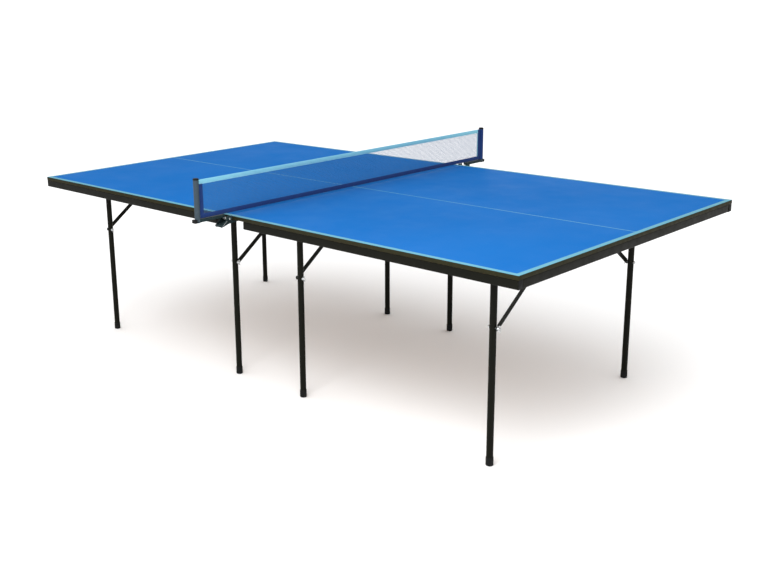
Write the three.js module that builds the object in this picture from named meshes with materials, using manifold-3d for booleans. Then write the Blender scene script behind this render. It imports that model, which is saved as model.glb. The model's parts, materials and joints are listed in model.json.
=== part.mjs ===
// Ping pong table in two halves, each on four folding legs, with a clip-on net.
// Units are millimetres. +Z is up, +X runs along the table and the net stands on the plane X = 0.
// The origin is on the floor under the middle of the net. "Front" is the -Y side.

import * as THREE from 'three';
import { mergeVertices } from 'three/addons/utils/BufferGeometryUtils.js';
import Module from 'manifold-3d';

const wasm = await Module();
wasm.setup();

// Whole table
const TABLE_LENGTH = 2740;
const TABLE_WIDTH = 1525;
const TABLE_HEIGHT = 760;
const BOARD_THICKNESS = 16;
const HALVES_GAP = 1;
const PART_GAP = 0.3;

// Steel frame under each board: side and end rails round it, and square cross beams
const RAIL_WIDTH = 25;
const RAIL_DEPTH = 31;
const BEAM_SIZE = 25;
const TUBE_WALL = 1.5;
const RAIL_INSET = 1;
const RAIL_START = 85;

// Cross beams. Their braces run between beam and leg, or past the outside of the leg.
const BEAMS = {
  left: [
    { place: 'outer', fromNet: 1130, braced: 'inside' },
    { place: 'inner', fromNet: 200, braced: 'outside' },
  ],
  right: [
    { place: 'outer', fromNet: 1130, braced: 'outside' },
    { place: 'inner', fromNet: 200, braced: 'inside' },
  ],
};

// Folding legs. Front legs hang on their beam's +X side and back legs on its -X side,
// so that an opposite pair folds in side by side.
const LEG_PLACES = [
  { end: 'front', fromMiddle: 600, turn: 0 },
  { end: 'back', fromMiddle: 470, turn: Math.PI },
];
const LEG_DIAMETER = 25;
const LEG_WALL = 1.5;
const LEG_OFFSET = 36.5;
const LEG_PIVOT_HEIGHT = 728;
const LEG_ABOVE_PIVOT = 8;
const FOOT_DIAMETER = 28;
const FOOT_HEIGHT = 32;
const FOOT_FLOOR = 3;
const PIVOT_RADIUS = 4;
const COLLAR_RADIUS = 7;
const STUD_HEAD = 2.6;

// Diagonal braces
const BRACE_RUN = 305;
const BRACE_DROP = 220;
const BRACE_WIDTH = 18;
const BRACE_THICKNESS = 3;
const BRACE_OFFSET = { inside: 17.5, outside: 52.2 };
const NOTCH_RADIUS = 3.8;
const NOTCH_LENGTH = 20;
const FOLD_ANGLE = 90;

// Strap over a folded leg that holds an outside brace's stud
const STRAP_WIDTH = 24;
const STRAP_THICKNESS = 2.5;
const STRAP_OFFSET = 55.8;
const STRAP_BOTTOM = 718;
const STRAP_DROP = 0.1;

// Brace bolts and wing nuts
const BOLT_RADIUS = 3;
const BOLT_HEAD_RADIUS = 5.5;
const BOLT_HEAD_LENGTH = { inside: 4, outside: 7 };
const BOLT_PAST_CLAMP = 12.5;
const NUT_HUB_RADIUS = 6;
const NUT_HUB_LENGTH = 7;
const NUT_WING_SPAN = 24;
const NUT_WING_LENGTH = 12;
const NUT_WING_THICKNESS = 3;

// Net, its posts and the spring clips that hold them on the table's edge
const NET_HEIGHT = 163;
const NET_THICKNESS = 4;
const NET_LIFT = 10;
const POST_FROM_MIDDLE = 920;
const POST_RADIUS = 11;
const POST_TOP = 929;
const POST_BOTTOM = 756;
const ARM_WIDTH = 20;
const ARM_HEIGHT = 12;
const ARM_START = 28;
const ARM_ABOVE_PLATE = 5;
const ARM_PAST_POST = 8;
const CLIP_WIDTH = 50;
const CLIP_PLATE = 3;
const CLIP_REACH = 60;
const CHEEK_START = 3;
const CHEEK_END = 34;
const CHEEK_DROP = 17;
const LEVER_WIDTH = 40;
const LEVER_WALL = 3;
const LEVER_PIVOT_OUT = 16;
const LEVER_PIVOT_DROP = 9;
const LEVER_HUB_RADIUS = 5;
const PIN_RADIUS = 2.5;
const PIN_HEAD_RADIUS = 4;
const PIN_HEAD_LENGTH = 2;

// Worked out from the sizes above
const HALF_LENGTH = TABLE_LENGTH / 2;
const HALF_WIDTH = TABLE_WIDTH / 2;
const BOARD_UNDERSIDE = TABLE_HEIGHT - BOARD_THICKNESS;
const RAIL_HEIGHT = BOARD_UNDERSIDE - PART_GAP - RAIL_DEPTH / 2;
const BEAM_HEIGHT = BOARD_UNDERSIDE - PART_GAP - BEAM_SIZE / 2;
const RAIL_FROM_MIDDLE = HALF_WIDTH - RAIL_INSET - RAIL_WIDTH / 2;
const END_RAIL_X = HALF_LENGTH - RAIL_INSET - RAIL_WIDTH / 2;
const CROSS_LENGTH = 2 * (RAIL_FROM_MIDDLE - RAIL_WIDTH / 2 - PART_GAP);
const LEG_INNER_SIDE = LEG_OFFSET - LEG_DIAMETER / 2;
const LEG_OUTER_SIDE = LEG_OFFSET + LEG_DIAMETER / 2;
const LEG_BOTTOM = FOOT_FLOOR + PART_GAP;
const BRACE_LENGTH = Math.hypot(BRACE_RUN, BRACE_DROP);
const BRACE_SLOPE = Math.atan2(BRACE_DROP, BRACE_RUN);
const BRACE_TURN_RATIO = (Math.PI - BRACE_SLOPE) / THREE.MathUtils.degToRad(FOLD_ANGLE);
const CLAMP_END = {
  inside: LEG_OUTER_SIDE + PART_GAP,
  outside: BRACE_OFFSET.outside + BRACE_THICKNESS + PART_GAP,
};
const BOLT_HEIGHT = LEG_PIVOT_HEIGHT - BRACE_DROP;
const LEVER_PIVOT_Y = -(HALF_WIDTH + LEVER_PIVOT_OUT);
const LEVER_PIVOT_Z = TABLE_HEIGHT - LEVER_PIVOT_DROP;

const ROUND_SIDES = 16;
const SMALL_SIDES = 10;

function paint(color, roughness, metalness) {
  return new THREE.MeshStandardMaterial({ color, roughness, metalness });
}

const blackSteel = () => paint(0x1b1b1e, 0.5, 0.4);
const brightSteel = () => paint(0xb9bcc0, 0.3, 0.9);
const blackPlastic = () => paint(0x141416, 0.65, 0);
const blueTop = () => paint(0x2e7fd4, 0.45, 0);
const paleNet = () => paint(0x9fd2ea, 0.85, 0);

// Booleans work on closed meshes that share their corners, so normals and uvs go first.
function solidFrom(geometry) {
  const bare = geometry.clone();
  bare.deleteAttribute('normal');
  bare.deleteAttribute('uv');
  const merged = mergeVertices(bare);
  return new wasm.Manifold(new wasm.Mesh({
    numProp: 3,
    vertProperties: merged.attributes.position.array,
    triVerts: new Uint32Array(merged.index.array),
  }));
}

function geometryFrom(solid) {
  const mesh = solid.getMesh();
  const geometry = new THREE.BufferGeometry();
  geometry.setAttribute('position', new THREE.BufferAttribute(new Float32Array(mesh.vertProperties), 3));
  geometry.setIndex(new THREE.BufferAttribute(new Uint32Array(mesh.triVerts), 1));
  return geometry;
}

function joined(geometries) {
  return geometries.map(solidFrom).reduce((whole, piece) => whole.add(piece));
}

function cut(solid, geometries) {
  return geometries.map(solidFrom).reduce((whole, piece) => whole.subtract(piece), solid);
}

function block(low, high) {
  const size = high.map((value, axis) => value - low[axis]);
  const middle = high.map((value, axis) => (value + low[axis]) / 2);
  return new THREE.BoxGeometry(...size).translate(...middle);
}

function rodAlongX(radius, fromX, toX, y, z, sides = SMALL_SIDES) {
  const rod = new THREE.CylinderGeometry(radius, radius, toX - fromX, sides);
  return rod.rotateZ(Math.PI / 2).translate((fromX + toX) / 2, y, z);
}

// Extrudes an outline drawn in (y, z) from one x to another.
function extrudeAlongX(outline, fromX, toX) {
  const geometry = new THREE.ExtrudeGeometry(outline, {
    depth: toX - fromX,
    bevelEnabled: false,
    curveSegments: SMALL_SIDES / 2,
  });
  const yzPlane = new THREE.Matrix4().makeBasis(
    new THREE.Vector3(0, 1, 0),
    new THREE.Vector3(0, 0, 1),
    new THREE.Vector3(1, 0, 0),
  );
  return geometry.applyMatrix4(yzPlane).translate(fromX, 0, 0);
}

// A bar with round ends, from (0, 0) to (length, 0).
function roundEndedBar(length, radius) {
  const outline = new THREE.Shape();
  outline.absarc(length, 0, radius, -Math.PI / 2, Math.PI / 2, false);
  outline.absarc(0, 0, radius, Math.PI / 2, Math.PI * 1.5, false);
  return outline;
}

// A rectangular tube along Z, centred on the origin.
function boxTube(sizeX, sizeY, length) {
  const corners = (x, y) => [[-x, -y], [x, -y], [x, y], [-x, y]].map(([a, b]) => new THREE.Vector2(a, b));
  const section = new THREE.Shape(corners(sizeX / 2, sizeY / 2));
  const inside = corners(sizeX / 2 - TUBE_WALL, sizeY / 2 - TUBE_WALL);
  section.holes.push(new THREE.Path(inside.reverse()));
  const tube = new THREE.ExtrudeGeometry(section, { depth: length, bevelEnabled: false });
  return tube.translate(0, 0, -length / 2);
}

function board() {
  const length = HALF_LENGTH - HALVES_GAP / 2;
  return new THREE.BoxGeometry(length, TABLE_WIDTH, BOARD_THICKNESS);
}

function sideRail() {
  const length = HALF_LENGTH - RAIL_INSET - RAIL_START;
  return boxTube(RAIL_DEPTH, RAIL_WIDTH, length).rotateY(Math.PI / 2);
}

function endRail() {
  return boxTube(RAIL_WIDTH, RAIL_DEPTH, CROSS_LENGTH).rotateX(Math.PI / 2);
}

// The stud that a leg turns on, welded to the beam's side.
function legStud(face, at) {
  const headStart = LEG_OUTER_SIDE + PART_GAP;
  return [
    rodAlongX(COLLAR_RADIUS, face, LEG_INNER_SIDE - PART_GAP, ...at),
    rodAlongX(PIVOT_RADIUS, face, headStart + STUD_HEAD / 2, ...at),
    rodAlongX(COLLAR_RADIUS, headStart, headStart + STUD_HEAD, ...at),
  ];
}

// The stud of a brace between beam and leg.
function insideBraceStud(face, at) {
  const headStart = BRACE_OFFSET.inside + BRACE_THICKNESS + PART_GAP;
  return [
    rodAlongX(COLLAR_RADIUS, face, BRACE_OFFSET.inside - PART_GAP, ...at),
    rodAlongX(PIVOT_RADIUS, face, headStart + STUD_HEAD / 2, ...at),
    rodAlongX(COLLAR_RADIUS, headStart, headStart + STUD_HEAD, ...at),
  ];
}

// The stud of a brace outside the leg hangs from a bent strap that the leg folds under.
function outsideBraceStud(face, at) {
  const [y] = at;
  const headStart = LEG_OUTER_SIDE + PART_GAP;
  const headEnd = BRACE_OFFSET.outside - PART_GAP;
  const strapTop = BEAM_HEIGHT + BEAM_SIZE / 2 - STRAP_DROP;
  const outerFace = STRAP_OFFSET + STRAP_THICKNESS;
  const [nearY, farY] = [y - STRAP_WIDTH / 2, y + STRAP_WIDTH / 2];
  return [
    block([face, nearY, strapTop - STRAP_THICKNESS], [outerFace, farY, strapTop]),
    block([STRAP_OFFSET, nearY, STRAP_BOTTOM], [outerFace, farY, strapTop]),
    rodAlongX(PIVOT_RADIUS, headEnd - 1, STRAP_OFFSET + STRAP_THICKNESS / 2, ...at),
    rodAlongX(COLLAR_RADIUS, headStart, headEnd, ...at),
  ];
}

function beamFittings({ fromMiddle, turn }, braced) {
  const face = BEAM_SIZE / 2 - TUBE_WALL / 2;
  const braceStud = braced === 'inside' ? insideBraceStud : outsideBraceStud;
  const fittings = [
    ...legStud(face, [-fromMiddle, LEG_PIVOT_HEIGHT]),
    ...braceStud(face, [BRACE_RUN - fromMiddle, LEG_PIVOT_HEIGHT]),
  ];
  return fittings.map((fitting) => fitting.rotateZ(turn));
}

function beam(braced) {
  const tube = boxTube(BEAM_SIZE, BEAM_SIZE, CROSS_LENGTH);
  tube.rotateX(Math.PI / 2).translate(0, 0, BEAM_HEIGHT);
  const fittings = LEG_PLACES.flatMap((legPlace) => beamFittings(legPlace, braced));
  return geometryFrom(joined([tube, ...fittings]));
}

// The leg and the pieces that go with it are drawn with the leg's hinge over y = 0.
function leg() {
  const section = new THREE.Shape().absarc(0, 0, LEG_DIAMETER / 2, 0, Math.PI * 2, false);
  section.holes.push(new THREE.Path().absarc(0, 0, LEG_DIAMETER / 2 - LEG_WALL, 0, Math.PI * 2, true));
  const length = LEG_PIVOT_HEIGHT + LEG_ABOVE_PIVOT - LEG_BOTTOM;
  const tube = new THREE.ExtrudeGeometry(section, {
    depth: length,
    bevelEnabled: false,
    curveSegments: ROUND_SIDES / 2,
  });
  tube.translate(LEG_OFFSET, 0, LEG_BOTTOM);
  const fromX = LEG_INNER_SIDE - 1;
  const toX = LEG_OUTER_SIDE + 1;
  const pivotHole = rodAlongX(PIVOT_RADIUS + PART_GAP, fromX, toX, 0, LEG_PIVOT_HEIGHT);
  const boltHole = rodAlongX(BOLT_RADIUS + PART_GAP, fromX, toX, 0, BOLT_HEIGHT);
  return geometryFrom(cut(solidFrom(tube), [pivotHole, boltHole]));
}

// A moulded cup with a rounded lower edge, pushed over the leg's end.
function foot() {
  const outer = FOOT_DIAMETER / 2;
  const inner = LEG_DIAMETER / 2 + PART_GAP;
  const edge = 4;
  const profile = [
    [0, 0],
    [outer - edge, 0],
    [outer - edge * 0.3, edge * 0.3],
    [outer, edge],
    [outer, FOOT_HEIGHT],
    [inner, FOOT_HEIGHT],
    [inner, FOOT_FLOOR],
    [0, FOOT_FLOOR],
  ];
  const points = profile.map(([radius, height]) => new THREE.Vector2(radius, height));
  const cup = new THREE.LatheGeometry(points, ROUND_SIDES).rotateX(Math.PI / 2);
  return cup.translate(LEG_OFFSET, 0, 0);
}

// A flat strip with a pivot hole. Its lower end has a notch that hooks over the brace bolt,
// cut along the way that the bolt leaves it when the leg starts to fold.
function brace(braced) {
  const start = BRACE_OFFSET[braced];
  const end = start + BRACE_THICKNESS;
  const outline = roundEndedBar(BRACE_LENGTH, BRACE_WIDTH / 2);
  outline.holes.push(new THREE.Path().absarc(0, 0, PIVOT_RADIUS + PART_GAP, 0, Math.PI * 2, true));
  const strip = extrudeAlongX(outline, start, end);
  strip.rotateX(Math.PI + BRACE_SLOPE).translate(0, BRACE_RUN, LEG_PIVOT_HEIGHT);

  const exitY = BRACE_DROP * (1 - BRACE_TURN_RATIO);
  const exitZ = BRACE_RUN * BRACE_TURN_RATIO;
  const notch = extrudeAlongX(roundEndedBar(NOTCH_LENGTH, NOTCH_RADIUS), start - 1, end + 1);
  notch.rotateX(Math.atan2(exitZ, exitY)).translate(0, 0, BOLT_HEIGHT);
  return geometryFrom(cut(solidFrom(strip), [notch]));
}

// The bolt holds leg and brace together. Where the brace is outside, a spacer keeps it off the leg.
function braceBolt(braced) {
  const headEnd = (braced === 'inside' ? BRACE_OFFSET.inside : LEG_INNER_SIDE) - PART_GAP;
  const shankEnd = CLAMP_END[braced] + BOLT_PAST_CLAMP;
  const parts = [
    rodAlongX(BOLT_HEAD_RADIUS, headEnd - BOLT_HEAD_LENGTH[braced], headEnd, 0, BOLT_HEIGHT, 12),
    rodAlongX(BOLT_RADIUS, headEnd - 1, shankEnd, 0, BOLT_HEIGHT, 12),
  ];
  if (braced === 'outside') {
    const spacerEnd = BRACE_OFFSET.outside - PART_GAP;
    parts.push(rodAlongX(BOLT_HEAD_RADIUS, LEG_OUTER_SIDE + PART_GAP, spacerEnd, 0, BOLT_HEIGHT, 12));
  }
  return geometryFrom(joined(parts));
}

// Hub and two swept-back wings around the bolt's end.
function wingNut(braced) {
  const start = CLAMP_END[braced];
  const hub = rodAlongX(NUT_HUB_RADIUS, start, start + NUT_HUB_LENGTH, 0, 0);
  const tip = NUT_WING_SPAN / 2;
  const wing = new THREE.Shape([
    new THREE.Vector2(start + 1, BOLT_RADIUS + 1.5),
    new THREE.Vector2(start + NUT_WING_LENGTH - 4, tip),
    new THREE.Vector2(start + NUT_WING_LENGTH, tip),
    new THREE.Vector2(start + NUT_WING_LENGTH, tip - 3.5),
    new THREE.Vector2(start + NUT_HUB_LENGTH - 1, BOLT_RADIUS + 1.5),
  ]);
  const wings = [0, Math.PI].map((turn) => {
    const plate = new THREE.ExtrudeGeometry(wing, { depth: NUT_WING_THICKNESS, bevelEnabled: false });
    plate.translate(0, 0, -NUT_WING_THICKNESS / 2);
    return plate.rotateX(turn + Math.PI / 2);
  });
  const hole = rodAlongX(BOLT_RADIUS + PART_GAP, start - 1, start + NUT_WING_LENGTH + 1, 0, 0, 12);
  const nut = cut(joined([hub, ...wings]), [hole]);
  return geometryFrom(nut).translate(0, 0, BOLT_HEIGHT);
}

// Net post, arm and fixed upper jaw, welded into one bracket. The jaw is a channel whose top
// lies on the playing surface and whose two cheeks hold the clip's pin outside the table's edge.
function netBracket() {
  const edge = -HALF_WIDTH;
  const half = CLIP_WIDTH / 2;
  const plateBottom = TABLE_HEIGHT + PART_GAP;
  const plateTop = plateBottom + CLIP_PLATE;
  const armTop = plateTop + ARM_ABOVE_PLATE;
  const plate = block([-half, edge - CHEEK_END, plateBottom], [half, edge + CLIP_REACH, plateTop]);
  const armEnd = POST_FROM_MIDDLE + POST_RADIUS + ARM_PAST_POST;
  const arm = block(
    [-ARM_WIDTH / 2, -armEnd, armTop - ARM_HEIGHT],
    [ARM_WIDTH / 2, edge - ARM_START, armTop],
  );
  const cheeks = [-half, half - CLIP_PLATE].map((x) => block(
    [x, edge - CHEEK_END, TABLE_HEIGHT - CHEEK_DROP],
    [x + CLIP_PLATE, edge - CHEEK_START, plateTop],
  ));
  const postHeight = POST_TOP - POST_BOTTOM;
  const post = new THREE.CylinderGeometry(POST_RADIUS, POST_RADIUS, postHeight, ROUND_SIDES);
  post.rotateX(Math.PI / 2).translate(0, -POST_FROM_MIDDLE, POST_BOTTOM + postHeight / 2);
  const pinHole = rodAlongX(PIN_RADIUS + PART_GAP, -half - 1, half + 1, LEVER_PIVOT_Y, LEVER_PIVOT_Z);
  return geometryFrom(cut(joined([plate, arm, ...cheeks, post]), [pinHole]));
}

function outlineThrough(points) {
  return new THREE.Shape(points.map(([y, z]) => new THREE.Vector2(y, z)));
}

// Lower jaw and thumb handle: a pressed channel, open at the top, that turns on the clip's pin.
// The outlines are drawn about the pin, with +y pointing in under the table.
function clipLever() {
  const padTop = LEVER_PIVOT_DROP - BOARD_THICKNESS - PART_GAP;
  const side = outlineThrough([
    [-38, -23],
    [-40, -27],
    [-35, -31],
    [0, -20],
    [76, -16],
    [76, padTop],
    [50, padTop],
    [48, -11],
    [14, -11],
    [6, 0],
    [0, 4],
    [-5, 2],
  ]);
  const hollow = outlineThrough([
    [-37, -26],
    [0, -17],
    [47, -14],
    [47, 6],
    [-37, 6],
  ]);
  const half = LEVER_WIDTH / 2;
  const body = solidFrom(extrudeAlongX(side, -half, half));
  const channel = cut(body, [extrudeAlongX(hollow, LEVER_WALL - half, half - LEVER_WALL)]);
  const hub = solidFrom(rodAlongX(LEVER_HUB_RADIUS, -half, half, 0, 0));
  const hole = rodAlongX(PIN_RADIUS + PART_GAP, -half - 1, half + 1, 0, 0);
  const lever = cut(channel.add(hub), [hole]);
  return geometryFrom(lever).translate(0, LEVER_PIVOT_Y, LEVER_PIVOT_Z);
}

function clipPin() {
  const headStart = CLIP_WIDTH / 2 + PART_GAP;
  const headEnd = headStart + PIN_HEAD_LENGTH;
  const at = [LEVER_PIVOT_Y, LEVER_PIVOT_Z];
  return geometryFrom(joined([
    rodAlongX(PIN_RADIUS, -headEnd + 1, headEnd - 1, ...at),
    rodAlongX(PIN_HEAD_RADIUS, -headEnd, -headStart, ...at),
    rodAlongX(PIN_HEAD_RADIUS, headStart, headEnd, ...at),
  ]));
}

function net() {
  const halfSpan = POST_FROM_MIDDLE - POST_RADIUS - PART_GAP;
  return block(
    [-NET_THICKNESS / 2, -halfSpan, TABLE_HEIGHT + NET_LIFT],
    [NET_THICKNESS / 2, halfSpan, TABLE_HEIGHT + NET_HEIGHT],
  );
}

function named(name, geometry, material, position = [0, 0, 0]) {
  const mesh = new THREE.Mesh(geometry, material);
  mesh.name = name;
  mesh.position.set(...position);
  return mesh;
}

// One folding leg with its foot, brace, bolt and wing nut, hung on the beam at beamX.
function legStation(label, beamX, braced, { fromMiddle, turn }) {
  const station = new THREE.Group();
  station.position.set(beamX, -fromMiddle * Math.cos(turn), 0);
  station.rotation.z = turn;
  station.add(
    named(`leg_${label}`, leg(), blackSteel()),
    named(`foot_${label}`, foot(), blackPlastic()),
    named(`brace_${label}`, brace(braced), blackSteel()),
    named(`brace_bolt_${label}`, braceBolt(braced), brightSteel()),
    named(`wing_nut_${label}`, wingNut(braced), brightSteel()),
  );
  return station;
}

function tableHalf(side, sign) {
  const half = new THREE.Group();
  const boardX = sign * (HALF_LENGTH + HALVES_GAP / 2) / 2;
  const boardZ = TABLE_HEIGHT - BOARD_THICKNESS / 2;
  const sideRailX = sign * (RAIL_START + HALF_LENGTH - RAIL_INSET) / 2;
  half.add(
    named(`board_${side}`, board(), blueTop(), [boardX, 0, boardZ]),
    named(`end_rail_${side}`, endRail(), blackSteel(), [sign * END_RAIL_X, 0, RAIL_HEIGHT]),
  );
  for (const [end, across] of [['front', -1], ['back', 1]]) {
    const railAt = [sideRailX, across * RAIL_FROM_MIDDLE, RAIL_HEIGHT];
    half.add(named(`side_rail_${side}_${end}`, sideRail(), blackSteel(), railAt));
  }
  for (const { place, fromNet, braced } of BEAMS[side]) {
    const beamX = sign * fromNet;
    half.add(named(`beam_${side}_${place}`, beam(braced), blackSteel(), [beamX, 0, 0]));
    for (const legPlace of LEG_PLACES) {
      half.add(legStation(`${side}_${place}_${legPlace.end}`, beamX, braced, legPlace));
    }
  }
  return half;
}

function netEnd(end, turn) {
  const group = new THREE.Group();
  group.rotation.z = turn;
  group.add(
    named(`net_bracket_${end}`, netBracket(), blackSteel()),
    named(`clip_lever_${end}`, clipLever(), blackSteel()),
    named(`clip_pin_${end}`, clipPin(), brightSteel()),
  );
  return group;
}

const table = new THREE.Group();
table.name = 'ping_pong_table';
table.add(
  tableHalf('left', -1),
  tableHalf('right', 1),
  netEnd('front', 0),
  netEnd('back', Math.PI),
  named('net', net(), paleNet()),
);

export default table;
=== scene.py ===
"""Ping pong table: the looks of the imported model, in metres, in the model's own frame.

+X runs along the table, +Y across it to the back and +Z up. The net stands on the plane x = 0.
"""

import itertools
import json
import math
import random

import bmesh
import bpy
from mathutils import Matrix, Vector


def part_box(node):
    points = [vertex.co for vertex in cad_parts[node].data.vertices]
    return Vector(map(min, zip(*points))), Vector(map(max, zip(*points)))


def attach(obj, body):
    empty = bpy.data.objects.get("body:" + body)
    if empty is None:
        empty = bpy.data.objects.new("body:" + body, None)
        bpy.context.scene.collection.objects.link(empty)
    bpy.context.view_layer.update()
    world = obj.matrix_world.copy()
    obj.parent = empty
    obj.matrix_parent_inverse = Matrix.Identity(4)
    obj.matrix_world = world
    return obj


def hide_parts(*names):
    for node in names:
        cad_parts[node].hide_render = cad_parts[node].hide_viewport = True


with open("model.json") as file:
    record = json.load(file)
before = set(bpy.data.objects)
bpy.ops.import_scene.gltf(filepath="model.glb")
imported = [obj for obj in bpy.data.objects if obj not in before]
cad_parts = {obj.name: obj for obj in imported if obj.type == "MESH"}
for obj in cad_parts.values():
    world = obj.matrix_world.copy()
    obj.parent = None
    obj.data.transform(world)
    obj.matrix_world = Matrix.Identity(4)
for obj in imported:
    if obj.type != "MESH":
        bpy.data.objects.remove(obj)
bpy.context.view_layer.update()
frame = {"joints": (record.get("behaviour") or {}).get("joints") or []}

# Camera, fitted to the table's corners
CAMERA_AT = (3.087, -3.348, 1.625)
CAMERA_TURN = 0.79164
CAMERA_PITCH = -0.25858
CAMERA_ROLL = 0.02048
CAMERA_LENS = 48.4
CAMERA_SHIFT = (0.0918, -0.0432)

# Playing boards
LINE_WIDTH = 0.020
CENTRE_LINE_WIDTH = 0.005
BOARD_ROUND = 0.0012

# Steel tubes
TUBE_WALL = 0.0015
TUBE_CORNER = 0.003
LEG_SIDES = 48
POST_SIDES = 40
SMALL_SIDES = 24
SCREW_SIDES = 16
PLUG_DEPTH = 0.0035
FOOT_ROUND = 0.004
HOLE_REACH = 0.02
WELD_RADIUS = 0.0015
SIDE_SCREWS = (0.12, 0.40, 0.69, 0.98, 1.26)
CROSS_SCREWS = (-0.62, -0.31, 0.0, 0.31, 0.62)

# Hinge studs, braces and bolts
GAP = 0.0003
STUD_RADIUS = 0.007
PIVOT_RADIUS = 0.004
BRACE_WIDTH = 0.018
BRACE_HOLE = 0.0043
NOTCH_RADIUS = 0.0038
NOTCH_LENGTH = 0.020
BOLT_RADIUS = 0.003
BOLT_HEAD_RADIUS = 0.0055
SPACER_RADIUS = 0.0055
THREAD_PITCH = 0.001
THREAD_DEPTH = 0.00045
WASHER_RADIUS = 0.0068
WASHER_THICKNESS = 0.0011
STRAP_WIDTH = 0.024
STRAP_THICKNESS = 0.0025
STRAP_BEND = 0.0045
STRAP_BOTTOM = 0.718
STRAP_DROP = 0.0001
STRAP_CLEARANCE = 0.0006

# Net clips
CLIP_PLATE = 0.003
CHEEK_START = 0.003
CHEEK_END = 0.034
CHEEK_ROUND = 0.006
ARM_WIDTH = 0.020
ARM_HEIGHT = 0.012
ARM_START = 0.028
ARM_ABOVE_PLATE = 0.005
ARM_WELD_RADIUS = 0.0014
POST_Y = -0.920
POST_RADIUS = 0.011
POST_BOTTOM = 0.756
LEVER_WALL = 0.003
PIN_RADIUS = 0.0025
PIN_HEAD = 0.002
PIN_HOLE_REACH = 0.03
SPRING_RADIUS = 0.0060
SPRING_WIRE = 0.0007
SPRING_CLEARANCE = 0.0010
SPRING_INSET = 0.0140
SPRING_LEAD = 0.0018

# Net
MESH_PITCH = 0.006
THREAD_RADIUS = 0.00068
THREAD_SIDES = 4
KNOT_RADIUS = 0.0010
KNOT_WANDER = 0.0003
NET_SAG = 0.0005
NET_TUCK = 0.002
TAPE_HEIGHT = 0.018
TAPE_THICKNESS = 0.0038
HEM_HEIGHT = 0.018
HEM_THICKNESS = 0.0034
CLOTH_STEPS = 180
STRIP_STEPS = 24
STITCH_PITCH = 0.005
STITCH_RADIUS = 0.00028
STITCH_SUNK = 0.00005
STRIP_WIDTHS = {"front": (0.020, 0.019), "back": (0.018, 0.017)}
PIPING = 0.0015

# Studio
FLOOR_HALF = 60
WORLD_LIGHT = 1.15
KEY_FROM = (-1.2, -1.0, 2.0)
KEY_LIGHT = 0.5
KEY_SPREAD = 80
SOFTBOX_AT = (1.6, -2.6, 2.7)
SOFTBOX_AIM = (0.5, -0.2, 0.76)
SOFTBOX_SIZE = 2.2
SOFTBOX_POWER = 90

random.seed(7)
AXIS_X = Matrix.Rotation(math.pi / 2, 4, "Y")
ALONG = (AXIS_X, Matrix.Rotation(math.pi / 2, 4, "X"))
SWAP_XY = Matrix(((0, 1, 0, 0), (1, 0, 0, 0), (0, 0, 1, 0), (0, 0, 0, 1)))
SQUARE = [(-1, -1), (1, -1), (1, 1), (-1, 1)]


# ---------------- materials

class Surface:
    """A Principled material whose colour, roughness and relief vary in the object's own space."""

    def __init__(self, name, roughness=0.5, metallic=0.0, **sockets):
        self.material = bpy.data.materials.new(name)
        self.material.use_nodes = True
        self.nodes = self.material.node_tree.nodes
        self.links = self.material.node_tree.links
        self.shader = self.nodes["Principled BSDF"]
        self.shader.inputs["Roughness"].default_value = roughness
        self.shader.inputs["Metallic"].default_value = metallic
        for socket, value in sockets.items():
            self.shader.inputs[socket.replace("_", " ")].default_value = value
        self.space = self.nodes.new("ShaderNodeTexCoord").outputs["Object"]
        self.height = None

    def node(self, kind, inputs=None, **settings):
        made = self.nodes.new(kind)
        for key, value in settings.items():
            setattr(made, key, value)
        for key, value in (inputs or {}).items():
            if isinstance(value, bpy.types.NodeSocket):
                self.links.new(value, made.inputs[key])
            else:
                made.inputs[key].default_value = value
        return made

    def stretched(self, scale):
        return self.node("ShaderNodeMapping", {"Vector": self.space, "Scale": scale}).outputs[0]

    def noise(self, scale, detail=4.0, stretch=(1, 1, 1)):
        space = self.stretched(stretch)
        made = self.node("ShaderNodeTexNoise", {"Vector": space, "Scale": scale, "Detail": detail})
        return made.outputs["Fac"]

    def speckle(self, scale, stretch=(1, 1, 1)):
        space = self.stretched(stretch)
        made = self.node("ShaderNodeTexVoronoi", {"Vector": space, "Scale": scale})
        return made.outputs["Distance"]

    def between(self, value, low, high, to_low=0.0, to_high=1.0):
        made = self.node("ShaderNodeMapRange", {
            "Value": value, "From Min": low, "From Max": high, "To Min": to_low, "To Max": to_high})
        return made.outputs[0]

    def maths(self, operation, first, second):
        return self.node("ShaderNodeMath", {0: first, 1: second}, operation=operation).outputs[0]

    def mix(self, factor, first, second):
        made = self.node("ShaderNodeMix", {"Factor": factor, 6: first, 7: second}, data_type="RGBA")
        return made.outputs[2]

    def colour(self, value):
        self.links.new(value, self.shader.inputs["Base Color"])

    def roughness(self, value):
        self.links.new(value, self.shader.inputs["Roughness"])

    def relief(self, height, depth):
        """Adds to the surface's relief: depth is the height in metres of a full step."""
        inputs = {"Height": height, "Strength": 1.0, "Distance": depth}
        if self.height is not None:
            inputs["Normal"] = self.height
        self.height = self.node("ShaderNodeBump", inputs).outputs[0]
        self.links.new(self.height, self.shader.inputs["Normal"])


def rgb(red, green, blue):
    """A display colour from 0 to 255 as the linear colour that a shader takes."""
    parts = [value / 255 for value in (red, green, blue)]
    linear = [p / 12.92 if p <= 0.04045 else ((p + 0.055) / 1.055) ** 2.4 for p in parts]
    return (*linear, 1.0)


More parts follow.
